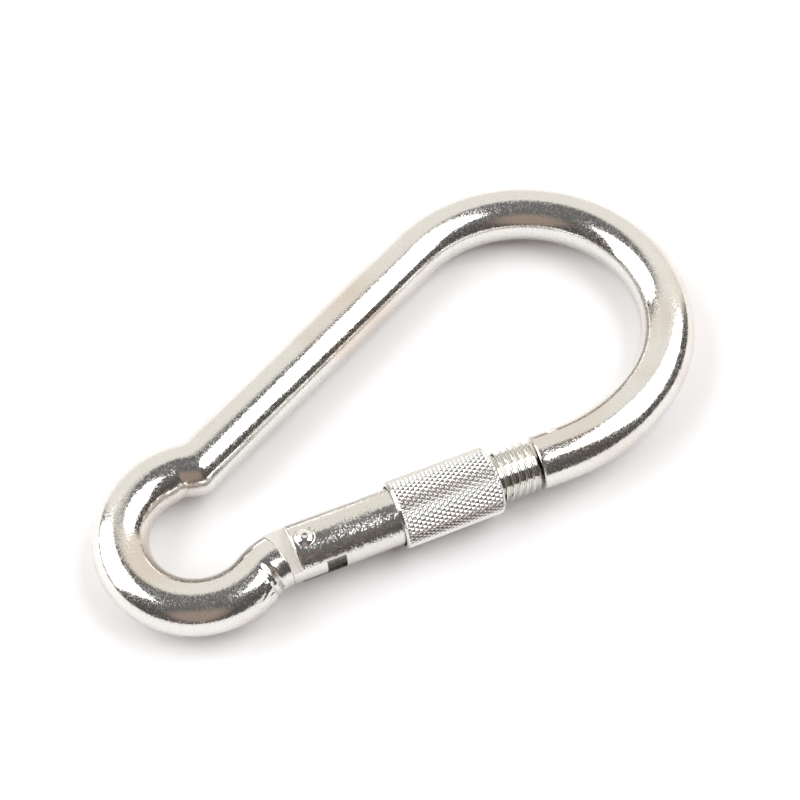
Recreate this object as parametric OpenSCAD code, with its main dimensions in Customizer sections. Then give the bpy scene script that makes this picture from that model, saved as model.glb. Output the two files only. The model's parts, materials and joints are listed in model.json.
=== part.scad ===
// Screw-lock spring hook: a bent wire hook, a spring-closed gate on a rivet, and a knurled
// locking nut that screws along the gate and over the hook's nose.
// X runs along the load line from the small eye to the bow, the hook lies in the XY plane,
// the gate is on the -Y side, and Z = 0 is the underside of the nut.

/* [Hook] */
// Overall length along the load line
hook_length = 160; // [120:1:200]
// Outer diameter of the bow's end arc
bow_d = 78; // [64:1:96]
// Diameter of the round wire
wire_d = 13; // [10:0.5:15]
// Clear diameter of the small eye
eye_bore = 22; // [18:0.5:28]
// How far each S-bend brings a leg in from the eye
leg_step = 5; // [3:0.5:7]
// Distance by which the legs stand outside the bow's end arc
bow_flare = 2.6; // [1:0.1:6]
// Extra bend radius where the nose side runs into the bow
nose_ease = 14.5; // [6:0.5:20]
// Extra bend radius where the spine runs into the bow
spine_ease = 3.5; // [2:0.5:12]
// Centreline radius of the S-bend at the spine
spine_bend_r = 8; // [7.6:0.1:20]
// Centreline radius of the S-bend at the hinge
hinge_bend_r = 14; // [8:0.5:20]

/* [Hinge] */
// Distance of the rivet from the small eye, along the gate
hinge_offset = 21.5; // [20:0.5:28]
// Thickness of the flattened tongue
tongue_t = 5.6; // [3:0.1:6]
// Side clearance between the tongue and each cheek
tongue_clear = 0.2; // [0.1:0.05:0.4]
// Length of the tongue beyond the rivet
tongue_len = 2.9; // [2.5:0.1:4]
// Distance from the rivet back to the round wire's shoulder
shoulder_x = 6.6; // [6:0.1:8]
// Slant of the shoulder across the wire, in degrees
shoulder_slant = 17; // [10:1:25]
// Diameter of the rivet's shank
rivet_d = 3.2; // [2.5:0.1:4]
// Running clearance between the shank and the tongue, on radius
rivet_clear = 0.05; // [0.02:0.01:0.1]
// Diameter of the rivet's domed heads
rivet_head_d = 4.6; // [4:0.1:6]
// Height of each domed head
rivet_head_h = 1.1; // [0.8:0.1:1.3]
// Depth of the flat that each head sits on
spot_face = 0.35; // [0.2:0.05:0.6]

/* [Gate] */
// Diameter of the gate's smooth bar
gate_d = 13.5; // [12:0.1:15]
// Length of the cheeks behind the rivet
cheek_len = 3.1; // [2.8:0.1:4]
// Reach of the slot in front of the rivet
slot_len = 7.5; // [7.2:0.1:10]
// Step from the smooth bar down to the thread's crest, on radius
thread_step = 0.5; // [0.3:0.05:1]
// Thread pitch
pitch = 1.75; // [1.25:0.25:2]
// Depth of the thread
thread_depth = 0.85; // [0.6:0.05:1]
// Gap between the gate's end and the nose
gate_gap = 0.6; // [0.4:0.1:2]
// Bore for the spring and plunger
bore_d = 6.6; // [6:0.1:7.5]
// Depth of the bore in front of the rivet
bore_depth = 27; // [25:0.5:28]
// How far the gate opens, in degrees
gate_open = 32; // [20:1:33]

/* [Latch] */
// Straight length of the nose, before the bow
nose_len = 7.5; // [7:0.1:12]
// Thickness of the nose's lip
lip_len = 4.6; // [3:0.1:5]
// Diameter of the latch neck
neck_d = 4.4; // [4:0.1:6]
// Wall of the nose beside the latch head's pocket
pocket_wall = 1; // [0.8:0.05:2]
// Thickness of the latch head
head_t = 1; // [0.8:0.1:2]
// Clearance round the latch in the nose
latch_clear = 0.4; // [0.35:0.05:0.6]

/* [Nut] */
// Wall of the nut at its plain mouths
nut_wall = 0.95; // [0.8:0.05:2]
// Length of the nut
nut_len = 24.5; // [20:0.5:28]
// Clearance of the plain mouths over the gate and the nose, on radius
mouth_clear = 0.4; // [0.2:0.05:0.6]
// Length of each plain mouth
mouth_len = 8; // [6:0.5:9]
// Travel from unscrewed to locked
nut_travel = 13.8; // [10:0.1:16]
// How far the locked nut reaches over the nose
nut_lap = 3; // [2:0.5:5]
// Clearance between the two threads, on radius
thread_clear = 0.08; // [0.04:0.01:0.1]

/* [Spring] */
// Wire of the gate spring
spring_wire = 0.9; // [0.7:0.1:1.1]
// Clearance of the gate spring in its bore, on radius
spring_clear = 0.4; // [0.2:0.05:0.6]
// Number of turns
spring_turns = 9; // [6:1:12]
// Length of the plunger's head
plunger_len = 5; // [4:0.5:7]
// Clearance of the plunger's tail inside the spring, on radius
tail_clear = 0.3; // [0.2:0.05:0.5]
// Running clearance of the plunger in its bore, on radius
plunger_clear = 0.08; // [0.04:0.01:0.1]

/* [Hidden] */
fine = 96;
eps = 0.01;
// Broken edge on turned ends
edge = 0.5;
// Air between faces that meet at rest
face_gap = 0.05;
// Hairline between two stretches of wire, its depth, and the reach of the core that joins them
hairline = 0.02;
hairline_depth = 0.3;
core_reach = 0.5;
steel = [0.78, 0.77, 0.74];
satin_steel = [0.84, 0.84, 0.83];
dark_steel = [0.45, 0.45, 0.46];

// Planform: the small eye's centre E and the end arc's centre C2 lie on the load line,
// and each leg is a straight line at half the taper angle to it.
wire_r = wire_d / 2;
eye_r = eye_bore / 2 + wire_r;
end_r = (bow_d - wire_d) / 2;
centre_dist = hook_length - eye_r - end_r - wire_d;
leg_off = eye_r - leg_step;
end_off = end_r + bow_flare;
half_taper = asin((end_off - leg_off) / centre_dist);
nose_r = end_r + nose_ease;
spine_r = end_r + spine_ease;

// Distance along a leg from the foot of C2 back to the start of a bend of radius r
function bend_back(r) = sqrt(pow(r - end_r, 2) - pow(r - end_off, 2));
// Angle turned by a bend of radius r before it runs into the end arc
function bend_angle(r) = atan2(bend_back(r), r - end_off);
// Angle and length of an S-bend of radius r between a leg and the eye
function s_angle(r) = acos(1 - leg_step / (eye_r + r));
function s_len(r) = (eye_r + r) * sin(s_angle(r));

foot_dist = centre_dist * cos(half_taper);
nose_start = foot_dist - bend_back(nose_r) - hinge_offset;
spine_start = foot_dist - bend_back(spine_r);
spine_end = s_len(spine_bend_r);
hinge_bend_x = s_len(hinge_bend_r) - hinge_offset;

// Stations along the gate's axis, measured from the rivet
nose_tip = nose_start - nose_len;
gate_end = nose_tip - gate_gap;
nut_rest = nose_tip + nut_lap - nut_travel - nut_len;
shoulder_end = nut_rest + mouth_len;
pocket_start = nose_tip + lip_len;
pocket_w = wire_d - 2 * pocket_wall;
head_d = pocket_w - 2 * latch_clear;
head_start = pocket_start + latch_clear;
head_end = head_start + head_t;
pocket_end = head_end + 2 * latch_clear;
plunger_start = tongue_len + face_gap;
plunger_back = plunger_start + plunger_len;
plunger_r = bore_d / 2 - plunger_clear;
// The tongue's end pushes the plunger in as the gate swings, until its tail meets the bore's floor
plunger_travel = (tongue_len + plunger_r * sin(gate_open)) / cos(gate_open) - tongue_len;
tail_end = bore_depth - plunger_travel - 2 * face_gap;
gate_r = gate_d / 2;
thread_d = gate_d - 2 * thread_step;
mouth_d = max(gate_d, wire_d) + 2 * mouth_clear;
nut_d = mouth_d + 2 * nut_wall;
nut_r = nut_d / 2;
spring_d = bore_d - 2 * spring_clear;
tail_d = spring_d - 2 * (spring_wire + tail_clear);
slot_t = tongue_t + 2 * tongue_clear;

// The box is centred on the origin, and the wire lies at the height of the nut's axis
bend_gate_y = nose_r - (nose_r - end_r) * cos(bend_angle(nose_r) - half_taper) + wire_r;
bend_spine_y = spine_r - (spine_r - end_r) * cos(bend_angle(spine_r) - half_taper) + wire_r;
shift_x = eye_r + wire_r - hook_length / 2;
shift_y = (bend_gate_y - bend_spine_y) / 2;

// The small eye's centre, on the load line
module eye_frame() {
    translate([shift_x, shift_y, nut_r]) children();
}

// The gate's frame: origin at the rivet, X along the gate, Y into the hook
module gate_frame() {
    eye_frame() rotate([0, 0, -half_taper]) translate([hinge_offset, -leg_off, 0]) children();
}

// The leg on the spine side, seen as the gate's mirror image: X along the leg from the eye
module spine_frame() {
    eye_frame() rotate([0, 0, half_taper]) mirror([0, 1, 0]) translate([0, -leg_off, 0]) children();
}

// Round bar along X
module bar(x0, x1, d) {
    translate([x0, 0, 0]) rotate([0, 90, 0]) cylinder(d = d, h = x1 - x0, $fn = fine);
}

// Bent wire in the XY plane: centreline radius r, from angle a0 through angle a, diameter d
module bend(r, a0, a, d) {
    rotate_extrude(start = a0, angle = a, $fn = 2 * fine)
        translate([r, 0]) circle(d = d, $fn = fine);
}

// Bend that stops a hairline short of its neighbours, with a core that runs on into both
module joined_bend(r, a0, a) {
    short = atan(hairline / r);
    reach = atan(core_reach / r);
    bend(r, a0 + short, a - 2 * short, wire_d);
    bend(r, a0 - reach, a + 2 * reach, wire_d - 2 * hairline_depth);
}

// A leg's bow end: the bend of radius r that runs from the leg into the end arc
module bow_bend(r, x) {
    translate([x, r, 0]) joined_bend(r, -90, bend_angle(r));
}

// A leg's eye end: the S-bend of radius r, which starts at x
module s_bend(r, x) {
    translate([x, -r, 0]) joined_bend(r, 90, s_angle(r));
}

// The small eye, from the spine's S-bend round to the hinge's
module eye_arc() {
    spine_side = 90 + half_taper - s_angle(spine_bend_r);
    hinge_side = 270 - half_taper + s_angle(hinge_bend_r);
    bend(eye_r, spine_side, hinge_side - spine_side, wire_d);
}

// The bow's end arc, from the nose side round to the spine side
module end_arc() {
    nose_side = -90 - half_taper + bend_angle(nose_r);
    spine_side = 90 + half_taper - bend_angle(spine_r);
    translate([centre_dist, 0, 0]) bend(end_r, nose_side, spine_side - nose_side, wire_d);
}

// Turned bar along X with broken edges c0 and c1 at its ends
module turned(x0, x1, d, c0, c1) {
    rotate([0, 90, 0]) rotate_extrude($fn = fine) polygon([
        [0, x0], [d / 2 - c0, x0], [d / 2, x0 + c0],
        [d / 2, x1 - c1], [d / 2 - c1, x1], [0, x1]
    ]);
}

// The whole bent wire, before milling and drilling
module bent_wire() {
    gate_frame() {
        turned(nose_tip, nose_start, wire_d, edge, 0);
        bow_bend(nose_r, nose_start);
        s_bend(hinge_bend_r, hinge_bend_x);
        bar(hinge_bend_x, tongue_len, wire_d);
    }
    spine_frame() {
        bow_bend(spine_r, spine_start);
        bar(spine_end, spine_start, wire_d);
        s_bend(spine_bend_r, spine_end);
    }
    eye_frame() {
        end_arc();
        eye_arc();
    }
}

// Material milled off one face of the wire's end to leave the flat tongue
module tongue_cut() {
    reach = 2 * wire_d;
    rotate([0, 0, shoulder_slant])
        translate([-shoulder_x * cos(shoulder_slant), -wire_d, tongue_t / 2])
            cube([reach, reach, wire_d]);
}

// T-shaped pocket in the nose, blind on the outer side and open into the hook
module latch_pocket() {
    slot_w = neck_d + 2 * latch_clear;
    bar(nose_tip - 1, pocket_start + eps, slot_w);
    translate([nose_tip - 1, 0, -slot_w / 2]) cube([lip_len + 1 + eps, wire_d, slot_w]);
    bar(pocket_start, pocket_end, pocket_w);
    translate([pocket_start, 0, -pocket_w / 2]) cube([pocket_end - pocket_start, wire_d, pocket_w]);
}

module hook_body() {
    color(steel) difference() {
        bent_wire();
        gate_frame() {
            tongue_cut();
            mirror([0, 0, 1]) tongue_cut();
            cylinder(r = rivet_d / 2 + rivet_clear, h = 2 * wire_d, center = true, $fn = fine);
            latch_pocket();
        }
    }
}

// Thread ridges as a turned profile, from the smooth bar's shoulder to the gate's end
module thread_profile() {
    top_r = thread_d / 2;
    root_r = top_r - thread_depth;
    flat = pitch / 8;
    count = floor((gate_end - shoulder_end) / pitch - 0.5);
    first = gate_end - count * pitch;
    ridges = [for (i = [0 : count - 1], p = [
        [root_r, flat / 2], [top_r, pitch / 2 - flat / 2],
        [top_r, pitch / 2 + flat / 2], [root_r, pitch - flat / 2]
    ]) [p[0], first + i * pitch + p[1]]];
    polygon(concat([[0, shoulder_end - 1], [root_r, shoulder_end - 1]], ridges,
        [[root_r, gate_end], [0, gate_end]]));
}

// The solid gate before it is bored, slotted and drilled
module gate_blank() {
    turned(-cheek_len, shoulder_end - face_gap, gate_d, edge, edge);
    rotate([0, 90, 0]) rotate_extrude($fn = fine) thread_profile();
    bar(gate_end - eps, head_start + eps, neck_d);
    turned(head_start, head_end, head_d, edge / 2, edge);
}

// Flat that a rivet head sits on, above the hinge
module head_seat() {
    translate([0, 0, gate_r - spot_face]) cylinder(d = rivet_head_d + edge, h = gate_r, $fn = fine);
}

module gate() {
    color(steel) gate_frame() difference() {
        gate_blank();
        bar(-cheek_len - 1, bore_depth, bore_d);
        translate([bore_depth - eps, 0, 0]) rotate([0, 90, 0])
            cylinder(d1 = bore_d, d2 = 0, h = bore_d / 4, $fn = fine);
        translate([-cheek_len - 1, -gate_d, -slot_t / 2])
            cube([slot_len + cheek_len + 1, 2 * gate_d, slot_t]);
        cylinder(d = rivet_d, h = 2 * gate_d, center = true, $fn = fine);
        head_seat();
        mirror([0, 0, 1]) head_seat();
    }
}

module lock_nut() {
    nut_end = nut_rest + nut_len;
    color(satin_steel) gate_frame() difference() {
        turned(nut_rest, nut_end, nut_d, edge, edge);
        bar(nut_rest - 1, shoulder_end, mouth_d);
        bar(nut_rest, nut_end, thread_d + 2 * thread_clear);
        bar(nut_end - mouth_len, nut_end + 1, mouth_d);
    }
}

// Domed rivet head with a small centre dimple
module rivet_head() {
    dome_r = (pow(rivet_head_d / 2, 2) + pow(rivet_head_h, 2)) / (2 * rivet_head_h);
    seat = gate_r - spot_face;
    difference() {
        intersection() {
            translate([0, 0, seat + rivet_head_h - dome_r]) sphere(r = dome_r, $fn = fine);
            translate([0, 0, seat]) cylinder(d = rivet_head_d + 1, h = 2 * rivet_head_h, $fn = fine);
        }
        translate([0, 0, seat + rivet_head_h - rivet_head_h / 4])
            cylinder(d1 = 0, d2 = rivet_d / 2, h = rivet_head_h / 3, $fn = fine);
    }
}

module hinge_rivet() {
    color(satin_steel) gate_frame() {
        cylinder(d = rivet_d, h = 2 * (gate_r - spot_face) + eps, center = true, $fn = fine);
        rivet_head();
        mirror([0, 0, 1]) rivet_head();
    }
}

module spring_plunger() {
    color(dark_steel) gate_frame() {
        turned(plunger_start, plunger_back, 2 * plunger_r, edge / 2, edge / 2);
        turned(plunger_back - eps, tail_end, tail_d, 0, edge);
    }
}

// Coil swept along X from x0 to x1: mean radius m, wire radius w
module coil(x0, x1, m, w, turns) {
    sides = 8;
    steps = 16 * turns;
    lead = (x1 - x0) / steps;
    rise = atan2(x1 - x0, 2 * PI * m * turns);
    points = [for (i = [0 : steps], k = [0 : sides - 1])
        let (a = 360 * i / 16, b = 360 * k / sides, out = m + w * cos(b), side = w * sin(b))
        [x0 + i * lead + side * cos(rise),
         out * cos(a) + side * sin(rise) * sin(a),
         out * sin(a) - side * sin(rise) * cos(a)]];
    walls = [for (i = [0 : steps - 1], k = [0 : sides - 1])
        let (n = (k + 1) % sides)
        [i * sides + k, (i + 1) * sides + k, (i + 1) * sides + n, i * sides + n]];
    caps = [[for (k = [0 : sides - 1]) k], [for (k = [sides - 1 : -1 : 0]) steps * sides + k]];
    polyhedron(points, concat(walls, caps), convexity = 10);
}

module gate_spring() {
    wire = spring_wire / 2;
    color(dark_steel) gate_frame()
        coil(plunger_back + wire + face_gap, bore_depth - wire - face_gap,
            spring_d / 2 - wire, wire, spring_turns);
}

hook_body();
gate();
lock_nut();
hinge_rivet();
gate_spring();
spring_plunger();
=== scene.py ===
"""Screw-lock spring hook in polished stainless steel, lying on a white table.

The wire hook, the gate, the knurled nut, the rivet and the coil spring are modelled here in
full detail round the frame; the plunger, inside the gate, keeps its frame shape.
"""
import json
import math

import bmesh
import bpy
import numpy as np
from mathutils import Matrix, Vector


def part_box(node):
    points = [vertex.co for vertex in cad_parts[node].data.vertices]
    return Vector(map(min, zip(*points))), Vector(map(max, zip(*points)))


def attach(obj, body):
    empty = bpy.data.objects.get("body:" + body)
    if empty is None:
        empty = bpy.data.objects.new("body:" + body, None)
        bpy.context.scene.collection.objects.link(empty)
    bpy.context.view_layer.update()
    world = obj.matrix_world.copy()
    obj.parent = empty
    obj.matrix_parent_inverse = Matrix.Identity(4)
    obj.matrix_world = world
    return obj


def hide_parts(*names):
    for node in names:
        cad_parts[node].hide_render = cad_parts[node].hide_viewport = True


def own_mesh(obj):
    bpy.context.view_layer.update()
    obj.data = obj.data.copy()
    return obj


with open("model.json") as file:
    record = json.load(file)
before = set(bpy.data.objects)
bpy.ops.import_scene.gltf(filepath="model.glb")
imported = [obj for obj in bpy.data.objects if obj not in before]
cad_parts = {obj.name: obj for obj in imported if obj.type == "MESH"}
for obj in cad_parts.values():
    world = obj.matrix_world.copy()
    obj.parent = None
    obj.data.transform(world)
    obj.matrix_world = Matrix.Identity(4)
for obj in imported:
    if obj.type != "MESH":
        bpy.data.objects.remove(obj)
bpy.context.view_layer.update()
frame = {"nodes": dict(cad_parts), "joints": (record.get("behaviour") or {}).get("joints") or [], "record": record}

MM = 0.001

# ---------------------------------------------------------------- sizes, in millimetres

record = frame["record"]
mounts = {m["name"]: m for m in record["mounts"]}
joints = {j["name"]: j for j in frame["joints"]}


def in_mm(v):
    return np.array(v, float) / MM


EYE = in_mm(mounts["small_eye"]["pos_m"])
BOW = in_mm(mounts["bow"]["pos_m"])
RIVET = in_mm(joints["gate_swing"]["pos_m"])
ALONG = np.array(joints["nut_travel"]["axis"], float)
ALONG /= np.linalg.norm(ALONG)
INWARD = np.array([-ALONG[1], ALONG[0], 0.0])
UP = np.array([0.0, 0.0, 1.0])


def node_points(node):
    """A frame node's points as distances along, into and above the gate's axis from the rivet."""
    mesh = frame["nodes"][node].data
    co = np.zeros(len(mesh.vertices) * 3)
    mesh.vertices.foreach_get("co", co)
    p = co.reshape(-1, 3) / MM - RIVET
    return np.stack([p @ ALONG, p @ INWARD, p @ UP], 1)


def span(node):
    """Where a node starts and ends along the gate, and its largest radius about the gate's axis."""
    p = node_points(node)
    return p[:, 0].min(), p[:, 0].max(), np.hypot(p[:, 1], p[:, 2]).max()


hook_low, hook_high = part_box("hook_body")
WIRE_R = round((hook_high.z - hook_low.z) / MM, 1) / 2
EYE_R = mounts["small_eye"]["dims"]["r_mm"] + WIRE_R
END_R = mounts["bow"]["dims"]["r_mm"] + WIRE_R
GATE_START, GATE_HEAD, GATE_R = span("gate")
NUT_START, NUT_END, NUT_R = span("lock_nut")
SPRING_START, SPRING_END, SPRING_R = span("gate_spring")

# Bends of the wire: extra radius of the bow's two runs, and the S-bends beside the small eye
NOSE_EASE, SPINE_EASE = 14.5, 3.5
SPINE_BEND_R, HINGE_BEND_R = 8.0, 14.0
# Tongue: thickness, reach past the rivet, shoulder behind the rivet and its slant, and where the
# shoulder's wall stands along the wire
TONGUE_T, TONGUE_LEN, SHOULDER, SHOULDER_SLANT = 5.6, 2.9, 6.6, 17.0
WALL_AT = TONGUE_LEN + SHOULDER
# Marks of cold bending: depths of the fold and the wrinkles beside the hinge, and of the spine's pinch
FOLD_DEPTH, WRINKLE_DEPTH, PINCH_DEPTH = 1.3, 0.10, 0.45
# Gate: slot, bore, rivet shank and seat
SLOT_T, SLOT_LEN, BORE_R, BORE_DEPTH = 6.0, 7.5, 3.3, 27.0
RIVET_R, RIVET_HEAD_R, RIVET_HEAD_H, SPOT_FACE = 1.6, 2.3, 1.1, 0.35
# Thread on the gate, latch neck and head, and the nose that takes them
THREAD_R, PITCH, THREAD_DEPTH = 6.25, 1.75, 0.95
NECK_R, HEAD_R, HEAD_T, LATCH_CLEAR = 2.2, 5.1, 1.0, 0.4
LIP, GATE_GAP = 4.6, 0.6
# Nut: plain mouths, bore over the thread, knurl
MOUTH_R, MOUTH_LEN, NUT_BORE_R = 7.15, 8.0, 6.33
KNURL_PITCH, KNURL_DEPTH, KNURL_ANGLE = 1.0, 0.30, 30.0
# Spring: radius of its wire, and its turns
SPRING_WIRE_R, SPRING_TURNS = 0.45, 9
# Fits: play round the rivet's shank and its head. Chamfers: nut and gate, and the gate's filed edges
SHANK_PLAY, HEAD_PLAY = 0.05, 0.25
CHAMFER, FILED_EDGE = 0.35, 0.25
# Cutters: reach past the metal, so that they leave no skin, and half width of the square ones
PAST, CUTTER_HALF = 1.0, 9.0

THREAD_START = NUT_START + MOUTH_LEN
HEAD_START = GATE_HEAD - HEAD_T
POCKET = HEAD_START - LATCH_CLEAR
NOSE_TIP = POCKET - LIP
GATE_END = NOSE_TIP - GATE_GAP
SEAT, SEAT_R = GATE_R - SPOT_FACE, RIVET_HEAD_R + HEAD_PLAY


def place(along, inward, up):
    """Points given along, into and above the gate's axis, in millimetres in the shared frame."""
    a, b, c = np.broadcast_arrays(along, inward, up)
    return RIVET + a[..., None] * ALONG + b[..., None] * INWARD + c[..., None] * UP


# ---------------------------------------------------------------- mesh making

def mesh_from(name, verts, faces):
    """A mesh from points in millimetres."""
    mesh = bpy.data.meshes.new(name)
    mesh.from_pydata((np.asarray(verts) * MM).tolist(), [], faces)
    return mesh


def put_in_scene(name, data):
    """A new object that holds the data."""
    thing = bpy.data.objects.new(name, data)
    bpy.context.scene.collection.objects.link(thing)
    return thing


def add_piece(name, verts, faces, body, slot, material, stands_for=(), sharp=35.0):
    """A mesh object from points in millimetres, riding on its body."""
    mesh = mesh_from(name, verts, faces)
    mesh.materials.append(material)
    finish_mesh(mesh, sharp)
    piece = put_in_scene(name, mesh)
    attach(piece, body)
    if stands_for:
        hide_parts(*stands_for)
    return piece


def face_outward(mesh):
    """Turns every face's normal outward."""
    work = bmesh.new()
    work.from_mesh(mesh)
    bmesh.ops.recalc_face_normals(work, faces=work.faces)
    work.to_mesh(mesh)
    work.free()


def finish_mesh(mesh, sharp):
    """Outward normals, smooth shading, and crisp edges above an angle in degrees."""
    face_outward(mesh)
    mesh.shade_smooth()
    mesh.set_sharp_from_angle(angle=math.radians(sharp))


def skin(rings, closed=False):
    """Points and faces of a skin over rings of equal length, closed on itself or capped at its ends."""
    sides = len(rings[0])
    k = np.arange(sides)
    nxt = (k + 1) % sides
    starts = sides * np.arange(len(rings))
    pairs = list(zip(starts[:-1], starts[1:]))
    if closed:
        pairs.append((starts[-1], 0))
    faces = []
    for a, b in pairs:
        faces += np.stack([a + k, a + nxt, b + nxt, b + k], 1).tolist()
    if not closed:
        faces += [k[::-1].tolist(), (starts[-1] + k).tolist()]
    return np.concatenate(rings), faces


def circle(sides):
    """Angles of a ring's points."""
    return np.linspace(0, 2 * math.pi, sides, endpoint=False)


def turned_ring(x, r, t):
    """A ring round the gate's axis at station x. The radius r may vary with the angle t."""
    return place(x, r * np.cos(t), r * np.sin(t))


def lathe(profile, sides):
    """Rings round the gate's axis from (station, radius) pairs."""
    t = circle(sides)
    return [turned_ring(x, r, t) for x, r in profile]


def apply_modifiers(piece):
    """Turns the piece's modifiers into plain mesh."""
    bpy.context.view_layer.update()
    graph = bpy.context.evaluated_depsgraph_get()
    done = bpy.data.meshes.new_from_object(piece.evaluated_get(graph))
    piece.modifiers.clear()
    old = piece.data
    piece.data = done
    bpy.data.meshes.remove(old)


def cut(piece, cutters):
    """Subtracts cutters, given as (verts, faces) in millimetres, from a piece."""
    for verts, faces in cutters:
        mesh = mesh_from("cutter", verts, faces)
        face_outward(mesh)
        tool = put_in_scene("cutter", mesh)
        step = piece.modifiers.new("cut", "BOOLEAN")
        step.operation = "DIFFERENCE"
        step.solver = "EXACT"
        step.object = tool
        apply_modifiers(piece)
        bpy.data.objects.remove(tool)
        bpy.data.meshes.remove(mesh)


def break_edges(piece, width):
    """Rounds a piece's sharp edges, as a file does, and gives the rounding its last material."""
    step = piece.modifiers.new("edges", "BEVEL")
    step.width = width * MM
    step.segments = 2
    step.material = len(piece.data.materials) - 1
    step.limit_method = "ANGLE"
    step.angle_limit = math.radians(50)
    apply_modifiers(piece)


def rod(axis, start, end, r):
    """A round cutter along the gate ("along") or along the rivet ("up")."""
    t = circle(96)
    if axis == "along":
        return skin([turned_ring(x, r, t) for x in (start, end)])
    return skin([place(r * np.cos(t), r * np.sin(t), z) for z in (start, end)])


def block(x, y, z):
    """A square-edged cutter in the gate's frame from three (low, high) pairs."""
    inward = np.array([y[0], y[1], y[1], y[0]])
    up = np.array([z[0], z[0], z[1], z[1]])
    return skin([place(station, inward, up) for station in x])


# ---------------------------------------------------------------- materials

def linear(code):
    """A hex sRGB colour as linear RGBA."""
    parts = [int(code[i:i + 2], 16) / 255 for i in (0, 2, 4)]
    return tuple(c / 12.92 if c <= 0.04045 else ((c + 0.055) / 1.055) ** 2.4 for c in parts) + (1.0,)


def new_material(name):
    """A node material with its tree and its Principled shader."""
    material = bpy.data.materials.new(name)
    material.use_nodes = True
    return material, material.node_tree, material.node_tree.nodes["Principled BSDF"]


def add_node(tree, kind, inputs=(), **settings):
    """A node with its settings, and its inputs set to values or linked to other nodes' sockets."""
    node = tree.nodes.new(kind)
    for key, value in settings.items():
        setattr(node, key, value)
    for key, value in dict(inputs).items():
        if isinstance(value, bpy.types.NodeSocket):
            tree.links.new(value, node.inputs[key])
        else:
            node.inputs[key].default_value = value
    return node


def steel(name, tint, dull_tint, rough, grain_mm, tilt, frost=0.0, speckle=0.3, painted_reflection=None):
    """Stainless steel. rough is its roughness, least and most, which drifts in soft clouds.
    Tumbling leaves fine flats grain_mm across, tilted by up to tilt. A third of them are frosted,
    which adds frost to their roughness. speckle darkens scattered pits, and the last colour, if
    given, is a painted reflection: a faint reddish tint in soft patches that stands for the
    maker's skin mirrored in the steel. The real grain may be finer: it is drawn as coarse as it needs to show."""
    cloud_mm, reflection_patch_mm, pit_mm = 9, 26, 2.2 * grain_mm
    material, tree, shader = new_material(name)
    where = add_node(tree, "ShaderNodeTexCoord").outputs["Object"]

    pits = add_node(tree, "ShaderNodeTexNoise", {"Vector": where, "Scale": 1 / (pit_mm * MM),
                                                "Detail": 6.0, "Roughness": 0.75})
    pitted = add_node(tree, "ShaderNodeMapRange", {"Value": pits.outputs["Fac"], "From Min": 0.56,
                                                  "From Max": 0.66, "To Max": speckle})
    colour = add_node(tree, "ShaderNodeMix", {0: pitted.outputs["Result"], 6: linear(tint),
                                             7: linear(dull_tint)}, data_type="RGBA").outputs[2]
    # Painted reflection: faint reddish patches mixed into the colour, standing for the maker's skin mirrored in
    # the steel
    if painted_reflection:
        reflection_noise = add_node(tree, "ShaderNodeTexNoise", {"Vector": where, "Scale": 1 / (reflection_patch_mm * MM),
                                                      "Detail": 2.0})
        reflection_mask = add_node(tree, "ShaderNodeMapRange", {"Value": reflection_noise.outputs["Fac"],
                                                       "From Min": 0.56, "From Max": 0.74, "To Max": 0.5})
        colour = add_node(tree, "ShaderNodeMix", {0: reflection_mask.outputs["Result"], 6: colour,
                                                 7: linear(painted_reflection)}, data_type="RGBA").outputs[2]
    tree.links.new(colour, shader.inputs["Base Color"])

    # Each flat has a random colour, which stands for the way it leans
    flats = add_node(tree, "ShaderNodeTexVoronoi", {"Vector": where, "Scale": 1 / (grain_mm * MM)})
    lean = add_node(tree, "ShaderNodeVectorMath", {0: flats.outputs["Color"], 1: (0.5, 0.5, 0.5)},
                    operation="SUBTRACT")
    steepness = add_node(tree, "ShaderNodeVectorMath", {0: lean.outputs[0]}, operation="LENGTH")
    frosted = add_node(tree, "ShaderNodeMapRange", {"Value": steepness.outputs["Value"],
                                                   "From Min": 0.46, "From Max": 0.66})
    clouds = add_node(tree, "ShaderNodeTexNoise", {"Vector": where, "Scale": 1 / (cloud_mm * MM),
                                                  "Detail": 4.0})
    haze = add_node(tree, "ShaderNodeMapRange", {"Value": clouds.outputs["Fac"], "From Min": 0.35,
                                                "From Max": 0.65, "To Min": rough[0], "To Max": rough[1]})
    roughness = add_node(tree, "ShaderNodeMath", {0: frosted.outputs["Result"], 1: frost,
                                                 2: haze.outputs["Result"]}, operation="MULTIPLY_ADD")
    tree.links.new(roughness.outputs[0], shader.inputs["Roughness"])

    # The flats lean more in the clouds, and turn the surface's normal
    patchy = add_node(tree, "ShaderNodeMapRange", {"Value": clouds.outputs["Fac"], "From Min": 0.3,
                                                  "From Max": 0.6, "To Min": 0.6 * tilt,
                                                  "To Max": 1.6 * tilt})
    lean = add_node(tree, "ShaderNodeVectorMath", {0: lean.outputs[0], "Scale": patchy.outputs["Result"]},
                    operation="SCALE")
    outward = add_node(tree, "ShaderNodeNewGeometry").outputs["Normal"]
    facing = add_node(tree, "ShaderNodeVectorMath", {0: outward, 1: lean.outputs[0]}, operation="ADD")
    facing = add_node(tree, "ShaderNodeVectorMath", {0: facing.outputs[0]}, operation="NORMALIZE")
    tree.links.new(facing.outputs[0], shader.inputs["Normal"])
    shader.inputs["Metallic"].default_value = 1.0
    return material


# Bright tumbled bar: mirror-like, with a fine frosting and a faint reddish reflection of the maker's skin painted
# into its colour in soft patches
POLISHED = steel("polished_steel", "E3E1DD", "B4B1AA", (0.05, 0.10), 0.22, 0.04, 0.22, 0.5, "D4BFAF")
# The gate's bar: the same polish over steeper flats, which sparkle in its dark reflections
PITTED = steel("pitted_steel", "DFDDD8", "9A968E", (0.10, 0.15), 0.22, 0.12, 0.12, 0.6)
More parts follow.
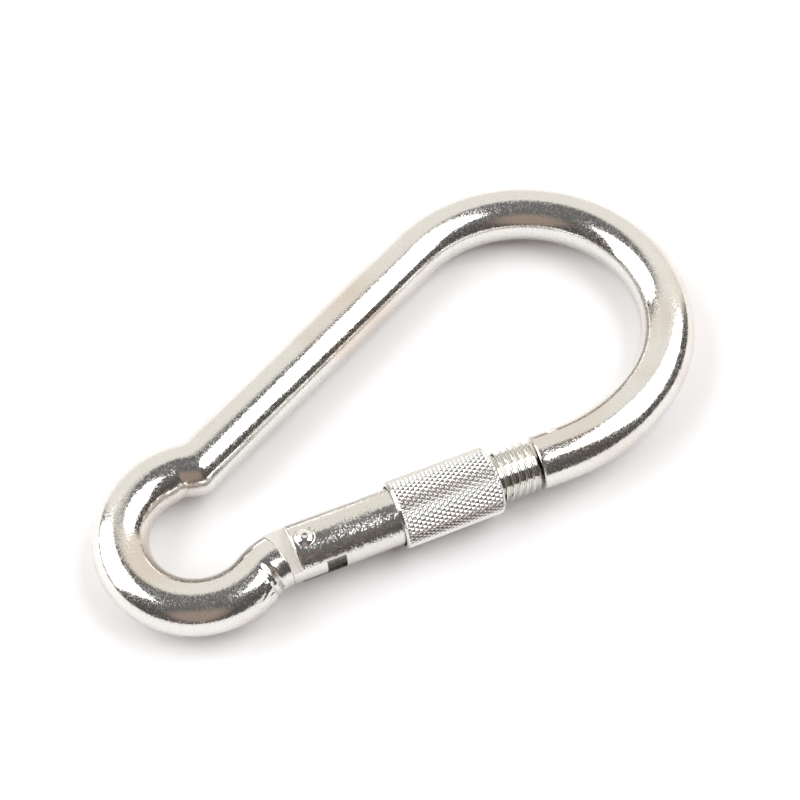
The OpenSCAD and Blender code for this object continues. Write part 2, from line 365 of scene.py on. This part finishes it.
# Rolled thread: clean and bright, with hardly any grain
ROLLED = steel("rolled_steel", "E0DFDA", "A8A59D", (0.07, 0.13), 0.20, 0.01)
# Milled faces of the tongue and filed edges of the gate: cut flat, left matt and pale
MILLED = steel("milled_steel", "F4F0EA", "D3CFC8", (0.38, 0.48), 0.24, 0.08)
# Knurled nut: satin silver, with soft reflections
SATIN = steel("satin_steel", "E6E5E3", "B5B2AB", (0.16, 0.25), 0.20, 0.03)
# Peened rivet: bright, with faint broad dents
PEENED = steel("peened_steel", "F1F0EC", "A09C94", (0.10, 0.18), 0.5, 0.02)
# Drawn spring wire and the turned pin that it pushes
WIRE = steel("spring_wire", "A7A8A9", "5E5E60", (0.2, 0.3), 0.25, 0.03)
PIN = steel("turned_pin", "B6B6B5", "6A6A6A", (0.22, 0.32), 0.25, 0.03)

# ---------------------------------------------------------------- the bent wire

LEG_OFF = abs((EYE - RIVET) @ INWARD)
END_OFF = abs((BOW - RIVET) @ INWARD)
HINGE_OFFSET = abs((EYE - RIVET) @ ALONG)
TAPER = -math.atan2(ALONG[1], ALONG[0])
FOOT_DIST = (BOW - EYE) @ ALONG


def bow_turn(r):
    """Length along the leg and angle turned by the bend of radius r that leads into the bow."""
    back = math.sqrt((r - END_R) ** 2 - (r - END_OFF) ** 2)
    return back, math.atan2(back, r - END_OFF)


def eye_turn(r):
    """Length along the leg and angle turned by the S-bend of radius r beside the small eye."""
    angle = math.acos(1 - (EYE_R - LEG_OFF) / (EYE_R + r))
    return (EYE_R + r) * math.sin(angle), angle


nose_back, nose_angle = bow_turn(END_R + NOSE_EASE)
spine_back, spine_angle = bow_turn(END_R + SPINE_EASE)
hinge_reach, hinge_angle = eye_turn(HINGE_BEND_R)
spine_reach, spine_eye_angle = eye_turn(SPINE_BEND_R)
HINGE_BEND = hinge_reach - HINGE_OFFSET
NOSE_START = FOOT_DIST - nose_back - HINGE_OFFSET

EYE_ARC = math.pi - 2 * TAPER + hinge_angle + spine_eye_angle
END_ARC = math.pi + 2 * TAPER - spine_angle - nose_angle
# Stretches from the tongue round to the nose: (length, turn), a turn being positive to the left
STRETCHES = [
    (TONGUE_LEN - HINGE_BEND, 0.0),
    (HINGE_BEND_R * hinge_angle, hinge_angle),
    (EYE_R * EYE_ARC, -EYE_ARC),
    (SPINE_BEND_R * spine_eye_angle, spine_eye_angle),
    (FOOT_DIST - spine_back - spine_reach, 0.0),
    ((END_R + SPINE_EASE) * spine_angle, -spine_angle),
    (END_R * END_ARC, -END_ARC),
    ((END_R + NOSE_EASE) * nose_angle, -nose_angle),
    (NOSE_START - NOSE_TIP, 0.0),
]
LENGTHS, TURNS = np.array(STRETCHES).T
STARTS = np.concatenate([[0.0], np.cumsum(LENGTHS)])
WIRE_LEN = STARTS[-1]
# Half height of a ring that the milling leaves round
UNCUT = 2 * WIRE_R


def centreline_table(step=0.05):
    """Points and headings along the wire's centreline, closely spaced."""
    s = np.linspace(0, WIRE_LEN, int(WIRE_LEN / step))
    heading0 = math.pi - TAPER
    heads = np.concatenate([[heading0], heading0 + np.cumsum(TURNS)])
    heading = np.interp(s, STARTS, heads)
    start = (RIVET + TONGUE_LEN * ALONG)[:2]
    mid = (heading[1:] + heading[:-1]) / 2
    ds = np.diff(s)[:, None]
    moves = ds * np.stack([np.cos(mid), np.sin(mid)], 1)
    xy = start + np.concatenate([[[0.0, 0.0]], np.cumsum(moves, 0)])
    return s, xy, heading


LINE_S, LINE_XY, LINE_HEAD = centreline_table()


def wire_point(s, side, up):
    """A point beside the centreline: side is to the left of the way from the tongue to the nose."""
    x = np.interp(s, LINE_S, LINE_XY[:, 0])
    y = np.interp(s, LINE_S, LINE_XY[:, 1])
    h = np.interp(s, LINE_S, LINE_HEAD)
    return np.stack([x - side * np.sin(h), y + side * np.cos(h), RIVET[2] + up], -1)


def bump_at(x, centre, width):
    """A smooth hump of height 1."""
    return np.exp(-((x - centre) / width) ** 2)


def ring_angles():
    """Angles of the wire ring's points, even all round and close together at the tongue's edges."""
    edge = math.asin(TONGUE_T / 2 / WIRE_R)
    near = edge + np.radians([-3.2, -1.6, -0.8, 0.0, 0.8, 1.6, 3.2])
    t = np.sort(np.concatenate([circle(96), near, math.pi - near, math.pi + near, 2 * math.pi - near]))
    apart = np.concatenate([[True], np.diff(t) > 0.004])
    return t[apart]


def wire_rings():
    """Rings of the bent wire, with the milled tongue at one end and the rounded nose at the other."""
    foot_r, rim_r, tip_r = 0.35, 0.28, 0.6
    # Rings of the tongue and its wall: (station, half height of the metal, shrink of the round)
    half = TONGUE_T / 2
    rings = [(x, half, 0.0) for x in np.linspace(0.0, WALL_AT - foot_r, 24)]
    for a in np.linspace(0, math.pi / 2, 6)[1:]:
        rings.append((WALL_AT - foot_r + foot_r * math.sin(a), half + foot_r * (1 - math.cos(a)), 0.0))
    # The wall is square to the gate, and its rings stand a hair apart so that none coincide
    for h in np.linspace(half + 0.6, WIRE_R - 0.25, 9):
        rings.append((WALL_AT + 0.0004 * h, h, 0.0))
    for a in np.linspace(0, math.pi / 2, 6):
        rings.append((WALL_AT + 0.01 + rim_r * (1 - math.cos(a)), UNCUT, rim_r * (1 - math.sin(a))))

    # Rings of the round wire, close together at the two S-bends and widely spaced on the spine
    hinge_bend = np.arange(rings[-1][0] + 0.15, STARTS[2] + 6.0, 0.15)
    spine_bend = np.arange(STARTS[3] - 6.0, STARTS[4] + 6.0, 0.2)
    eye = np.arange(hinge_bend[-1] + 0.5, spine_bend[0] - 0.2, 0.5)
    spine = np.arange(spine_bend[-1] + 0.8, STARTS[5] - 0.4, 2.0)
    bow = np.arange(STARTS[5], WIRE_LEN - 2 * tip_r, 0.6)
    rings += [(x, UNCUT, 0.0) for x in np.concatenate([hinge_bend, eye, spine_bend, spine, bow])]
    for a in np.linspace(0, math.pi / 2, 8):
        rings.append((WIRE_LEN - tip_r + tip_r * math.sin(a), UNCUT, tip_r * (1 - math.cos(a))))
    t = ring_angles()
    return [wire_ring(t, *ring) for ring in rings]


def milled_down(up, half, soft=0.08):
    """Heights cut down to half above and below, with a softened edge."""
    over = np.abs(up) - half
    kept = np.where(over > soft, 0.0, over - (over + soft) ** 2 / (4 * soft))
    return np.sign(up) * (half + np.where(over > -soft, kept, over))


def wire_ring(t, s, half, shrink):
    """One ring of the wire at distance s from the tongue's end. The ring leans with the slant of
    the shoulder's wall and is upright again some way off and at the tongue's end."""
    r = WIRE_R - shrink - bend_folds(s, t)
    side = r * np.cos(t)
    up = r * np.sin(t)
    if half < UNCUT:
        up = milled_down(up, half)
    slant = math.radians(SHOULDER_SLANT) - (WALL_AT - STARTS[1]) / HINGE_BEND_R
    lean = -math.tan(slant) * math.exp(-max(0.0, abs(s - WALL_AT) - 1.5) / 4.0)
    if s < WALL_AT:
        lean *= min(1.0, s / 3.0)
    return wire_point(s + side * lean, side, up)


def bend_folds(s, t):
    """Depth of the dents left in the wire where it was bent cold: wrinkles and a fold on the outer
    side of the hinge's S-bend, and a sharp knee on the inner side of the spine's S-bend."""
    outer = np.clip(np.cos(t), 0, 1)
    inner = np.clip(-np.cos(t), 0, 1)
    fold_at = STARTS[2] - 0.9 + 0.35 * np.sin(2.3 * t) + 0.2 * np.sin(5 * t)
    fold = FOLD_DEPTH * outer ** 1.4 * (bump_at(s, fold_at, 0.65) + 0.35 * bump_at(s, fold_at + 1.5, 0.4))
    wave = np.sin(26 * t + 1.3 * np.sin(1.7 * s) + 0.9 * s)
    wrinkles = WRINKLE_DEPTH * outer ** 2 * wave * bump_at(s, STARTS[2] + 1.8, 2.4)
    half_turn = spine_eye_angle / 2
    middle = (STARTS[3] + STARTS[4]) / 2
    off = np.minimum(np.hypot((s - middle) / SPINE_BEND_R, 0.05), half_turn)
    knee = (SPINE_BEND_R + WIRE_R) * (1 / np.cos(half_turn - off) - 1) * inner ** 1.5
    pinch = PINCH_DEPTH * inner ** 1.5 * bump_at(s, STARTS[3] - 1.6, 1.6)
    return fold + wrinkles - knee + pinch


def latch_cutters():
    """The T-shaped pocket in the nose, open into the hook."""
    slot_r = NECK_R + LATCH_CLEAR
    pocket_r = HEAD_R + LATCH_CLEAR
    slot = (NOSE_TIP - PAST, POCKET + 0.01)
    pocket = (POCKET, GATE_HEAD + 2 * LATCH_CLEAR)
    opening = (0, CUTTER_HALF)
    yield rod("along", *slot, slot_r)
    yield block(slot, opening, (-slot_r, slot_r))
    yield rod("along", *pocket, pocket_r)
    yield block(pocket, opening, (-pocket_r, pocket_r))


hook = add_piece("bent_wire_hook", *skin(wire_rings()), "hook", "polished_steel", POLISHED, ["hook_body"])
cut(hook, [*latch_cutters(), rod("up", -WIRE_R, WIRE_R, RIVET_R + SHANK_PLAY)])
finish_mesh(hook.data, 32.0)


def mark_milled(piece):
    """Gives the tongue's flat faces and its shoulder's wall the milled finish."""
    piece.data.materials.append(MILLED)
    half = TONGUE_T / 2
    # A face within 14 degrees of level is flat, and one within 41 degrees of the gate's way is the wall
    for face in piece.data.polygons:
        p = np.array(face.center) / MM - RIVET
        n = np.array(face.normal)
        on_tongue = -1.7 * SHOULDER < p @ ALONG < TONGUE_LEN + 1 and abs(p @ INWARD) < WIRE_R
        flat = abs(n[2]) > 0.97 and abs(p[2]) < half + 0.2
        wall = n @ ALONG > 0.75 and abs(p[2]) > half
        if on_tongue and (flat or wall):
            face.material_index = 1


mark_milled(hook)

# ---------------------------------------------------------------- the gate

def barrel_profile():
    """The smooth bar from the cheeks' end to the step down to the thread."""
    a = np.linspace(0, math.pi / 2, 6)
    ahead, out = CHAMFER * (1 - np.cos(a)), CHAMFER * (1 - np.sin(a))
    end = THREAD_START - 0.05
    start = list(zip(GATE_START + ahead, GATE_R - out))
    middle = [(x, GATE_R) for x in np.linspace(GATE_START + CHAMFER, end - CHAMFER, 50)[1:-1]]
    stop = list(zip(end - out, GATE_R - ahead))
    return [(GATE_START, BORE_R - 1.0), *start, *middle, *stop, (end, THREAD_R - 1.0)]


barrel = add_piece("gate_barrel", *skin(lathe(barrel_profile(), 128)), "gate", "polished_steel", PITTED,
                   ["gate"])
cut(barrel, [
    rod("along", GATE_START - PAST, BORE_DEPTH, BORE_R),
    block((GATE_START - PAST, SLOT_LEN), (-CUTTER_HALF, CUTTER_HALF), (-SLOT_T / 2, SLOT_T / 2)),
    rod("up", SEAT, GATE_R + 2 * PAST, SEAT_R),
    rod("up", -GATE_R - 2 * PAST, -SEAT, SEAT_R),
    rod("up", -GATE_R - PAST, GATE_R + PAST, RIVET_R),
])
barrel.data.materials.append(MILLED)
break_edges(barrel, FILED_EDGE)
finish_mesh(barrel.data, 32.0)


def thread_depth_at(phase):
    """Depth of a V thread below its crest, by phase over one pitch. crest and root are the shares
    of the pitch that are flat, and the flanks lie between them."""
    crest, root = 0.14, 0.12
    slope = np.abs((phase % 1.0) - 0.5) * 2
    return THREAD_DEPTH * np.clip((slope - crest) / (1 - crest - root), 0, 1)


def thread_rings():
    """The helical thread with its run-outs, and the latch neck and head in front of it."""
    t = circle(144)
    core_r = 0.5
    start = THREAD_START - 0.04
    rings = [turned_ring(start, core_r, t)]
    for x in np.arange(start, GATE_END - 0.01, PITCH / 20):
        depth = thread_depth_at(x / PITCH + t / (2 * math.pi))
        chamfer = max(0.0, x - (GATE_END - 0.8))
        rings.append(turned_ring(x, THREAD_R - np.maximum(depth, chamfer), t))
    latch = [
        (GATE_END, THREAD_R - 0.9),
        (GATE_END, NECK_R + 0.3),
        (GATE_END + 0.3, NECK_R),
        (HEAD_START - 0.2, NECK_R),
        (HEAD_START, NECK_R + 0.2),
        (HEAD_START, HEAD_R - 0.25),
        (HEAD_START + 0.25, HEAD_R),
        (GATE_HEAD - 0.5, HEAD_R),
        (GATE_HEAD, HEAD_R - 0.5),
        (GATE_HEAD, core_r),
    ]
    return rings + lathe(latch, len(t))


add_piece("gate_thread", *skin(thread_rings()), "gate", "polished_steel", ROLLED, ["gate"], sharp=50.0)

# ---------------------------------------------------------------- the knurled nut

def knurl_depth(x, t):
    """Depth of the diamond knurl's grooves below the nut's outside, in millimetres."""
    turn = math.radians(KNURL_ANGLE)
    starts = round(2 * math.pi * NUT_R * math.cos(turn) / KNURL_PITCH)
    round_trip = t * starts / (2 * math.pi)
    lead = x * math.sin(turn) / KNURL_PITCH
    left, right = (np.abs(((round_trip + way * lead) % 1.0) - 0.5) * 2 for way in (1, -1))
    rise = np.minimum(1 - left, 1 - right)
    flank = 0.72
    return KNURL_DEPTH * (1 - np.clip(rise / flank, 0, 1))


def mouth(end, way):
    """Profile of one mouth, from the threaded bore out to the edge of the knurl: way is +1 at the
    nut's rear and -1 at its front."""
    rim_r = NUT_R - CHAMFER
    return [
        (end + way * MOUTH_LEN, NUT_BORE_R),
        (end + way * MOUTH_LEN, MOUTH_R),
        (end + way * 0.15, MOUTH_R),
        (end, MOUTH_R + 0.15),
        (end, rim_r - 0.12),
        (end + way * 0.04, rim_r - 0.04),
    ]


def nut_rings():
    """The nut's skin, from the middle of its bore out round the knurl and back to the bore."""
    sides = 528
    t = circle(sides)
    mid = (NUT_START + NUT_END) / 2
    rings = lathe([(mid, NUT_BORE_R), *mouth(NUT_START, 1)], sides)
    for x in np.arange(NUT_START + 0.15, NUT_END - 0.12, 1 / 6):
        fade = min(1.0, (x - NUT_START - 0.3) / 0.5, (NUT_END - 0.3 - x) / 0.5)
        bevel = 0.9 * max(0.0, NUT_START + 0.5 - x, x - (NUT_END - 0.5))
        depth = np.maximum(bevel, knurl_depth(x - mid, t) * max(0.0, fade))
        rings.append(turned_ring(x, NUT_R - depth, t))
    return rings + lathe(mouth(NUT_END, -1)[::-1], sides)


add_piece("knurled_lock_nut", *skin(nut_rings(), closed=True), "nut", "nut_steel", SATIN, ["lock_nut"],
          sharp=28.0)

# ---------------------------------------------------------------- the rivet

def rivet_rings():
    """The rivet from its upper dimple through the shank to the lower one."""
    dome_r = (RIVET_HEAD_R ** 2 + RIVET_HEAD_H ** 2) / (2 * RIVET_HEAD_H)
    r = np.linspace(0.02, RIVET_HEAD_R, 26)
    dome = SEAT + RIVET_HEAD_H - dome_r + np.sqrt(dome_r ** 2 - r ** 2)
    dimple = 0.22 * np.exp(-(r / 0.75) ** 2)
    upper = list(zip(np.maximum(dome - dimple, SEAT + 0.08), r))
    upper += [(SEAT, RIVET_HEAD_R), (SEAT, RIVET_R)]
    profile = upper + [(-z, out) for z, out in upper[::-1]]
    t = circle(64)
    return [place(out * np.cos(t), out * np.sin(t), z) for z, out in profile]


add_piece("peened_rivet", *skin(rivet_rings()), "gate", "rivet_steel", PEENED, ["hinge_rivet"])

# ---------------------------------------------------------------- spring and plunger, inside the gate

def coil_rings():
    """Rings along the spring's wire: a closed turn at each end and open turns between them."""
    first, last = SPRING_START + SPRING_WIRE_R, SPRING_END - SPRING_WIRE_R
    closed = 2.1 * SPRING_WIRE_R
    rings_a_turn = 24
    turns = np.linspace(0, SPRING_TURNS, rings_a_turn * SPRING_TURNS + 1)
    stations = np.interp(turns, [0, 1, SPRING_TURNS - 1, SPRING_TURNS],
                         [first, first + closed, last - closed, last])
    round_wire = circle(16)
    out = SPRING_R - SPRING_WIRE_R + SPRING_WIRE_R * np.cos(round_wire)
    ahead = SPRING_WIRE_R * np.sin(round_wire)
    angles = 2 * math.pi * turns
    return [place(x + ahead, out * math.cos(a), out * math.sin(a)) for x, a in zip(stations, angles)]


# The coil spring rides on the gate and keeps its length as the gate swings
spring = add_piece("coil_spring", *skin(coil_rings()), "gate", "spring_steel", WIRE, ["gate_spring"],
                   sharp=60.0)
place(BORE_DEPTH, 0.0, 0.0) * MM
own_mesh(spring)

plunger = frame["nodes"]["spring_plunger"].data
plunger.materials.clear()
plunger.materials.append(PIN)

# ---------------------------------------------------------------- the table and the light

def to_scene(v):
    """A point given in millimetres, as Blender takes it."""
    return Vector((np.asarray(v) * MM).tolist())


def lay_table():
    """White paper under the hook. The hook rests on its nut and on the bow's far side, so the
    paper rises a little from the one to the other."""
    reach = 2500.0
    tilt = math.atan2(RIVET[2] - WIRE_R, END_OFF + END_R)
    normal = UP * math.cos(tilt) - INWARD * math.sin(tilt)
    foot = RIVET - normal * NUT_R
    across = np.cross(normal, ALONG)
    corners = [foot + reach * (i * ALONG + j * across) for i, j in ((-1, -1), (1, -1), (1, 1), (-1, 1))]
    paper, _, shader = new_material("white_paper")
    shader.inputs["Base Color"].default_value = linear("FBFAFB")
    shader.inputs["Roughness"].default_value = 0.7
    mesh = mesh_from("table", corners, [(0, 1, 2, 3)])
    mesh.materials.append(paper)
    put_in_scene("table", mesh)


lay_table()

# The camera looks down at the hook from the gate's side
VIEW_TURN = math.radians(53.77)
VIEW_RISE = math.radians(59.77)
LOOK_AT = place(34.8, 27.9, 0.0)
DISTANCE = 448.0
FORWARD = np.array([math.cos(VIEW_TURN), math.sin(VIEW_TURN), 0.0])
RIGHTWARD = np.array([math.sin(VIEW_TURN), -math.cos(VIEW_TURN), 0.0])


def aim(thing, point, target):
    """Puts an object at a point, facing a target."""
    thing.location = to_scene(point)
    thing.rotation_euler = (to_scene(target) - to_scene(point)).to_track_quat("-Z", "Y").to_euler()


lens = bpy.data.cameras.new("camera")
lens.lens = 85.1
lens.sensor_width = 36.0
lens.clip_start = 0.01
camera = put_in_scene("camera", lens)
aim(camera, LOOK_AT - DISTANCE * (math.cos(VIEW_RISE) * FORWARD - math.sin(VIEW_RISE) * UP), LOOK_AT)
bpy.context.scene.camera = camera
bpy.context.scene.view_settings.view_transform = "Standard"


def bearing(turn, rise):
    """The direction turn degrees right of straight ahead of the camera, rise degrees above level."""
    turn, rise = math.radians(turn), math.radians(rise)
    level = math.cos(turn) * FORWARD + math.sin(turn) * RIGHTWARD
    return math.cos(rise) * level + math.sin(rise) * UP


def studio_room():
    """The room that the steel mirrors: a dim room, greyer overhead, with a pale curved backdrop
    in front and a warmer patch where the maker stands behind the camera."""
    world = bpy.data.worlds.new("studio")
    world.use_nodes = True
    tree = world.node_tree
    toward = add_node(tree, "ShaderNodeTexCoord").outputs["Generated"]
    lift = add_node(tree, "ShaderNodeVectorMath", {0: toward, 1: UP}, operation="DOT_PRODUCT")
    overhead = add_node(tree, "ShaderNodeMapRange", {"Value": lift.outputs["Value"], "From Min": 0.4,
                                                    "From Max": 1.0})
    whole = add_node(tree, "ShaderNodeMix", {0: overhead.outputs["Result"], 6: linear("5A5755"),
                                            7: linear("767676")}, data_type="RGBA")
    # Round patches: middle (turn, rise), degrees from it to the outer and inner edge, colour
    patches = [
        ((180, 30), 30, 12, "A8968C"),
        ((0, 12), 59, 47, "FFFCF5"),
    ]
    for middle, outer, inner, colour in patches:
        nearness = add_node(tree, "ShaderNodeVectorMath", {0: toward, 1: bearing(*middle)},
                            operation="DOT_PRODUCT")
        patch = add_node(tree, "ShaderNodeMapRange",
                         {"Value": nearness.outputs["Value"], "From Min": math.cos(math.radians(outer)),
                          "From Max": math.cos(math.radians(inner))}, interpolation_type="SMOOTHSTEP")
        whole = add_node(tree, "ShaderNodeMix", {0: patch.outputs["Result"], 6: whole.outputs[2],
                                                7: linear(colour)}, data_type="RGBA")
    tree.links.new(whole.outputs[2], tree.nodes["Background"].inputs["Color"])
    bpy.context.scene.world = world


studio_room()


def soft_box(name, turn, rise, away, wide, tall, radiance):
    """A soft box at a bearing from the hook, away, wide and tall in mm, of an even radiance."""
    light = bpy.data.lights.new(name, "AREA")
    light.shape = "RECTANGLE"
    light.size = wide * MM
    light.size_y = tall * MM
    light.energy = radiance * math.pi * light.size * light.size_y
    aim(put_in_scene(name, light), LOOK_AT + away * bearing(turn, rise), LOOK_AT)


soft_box("left_soft_box", -87, 35, 1600, 1400, 1700, 3.6)
soft_box("right_soft_box", 80, 50, 1600, 1350, 1300, 3.7)
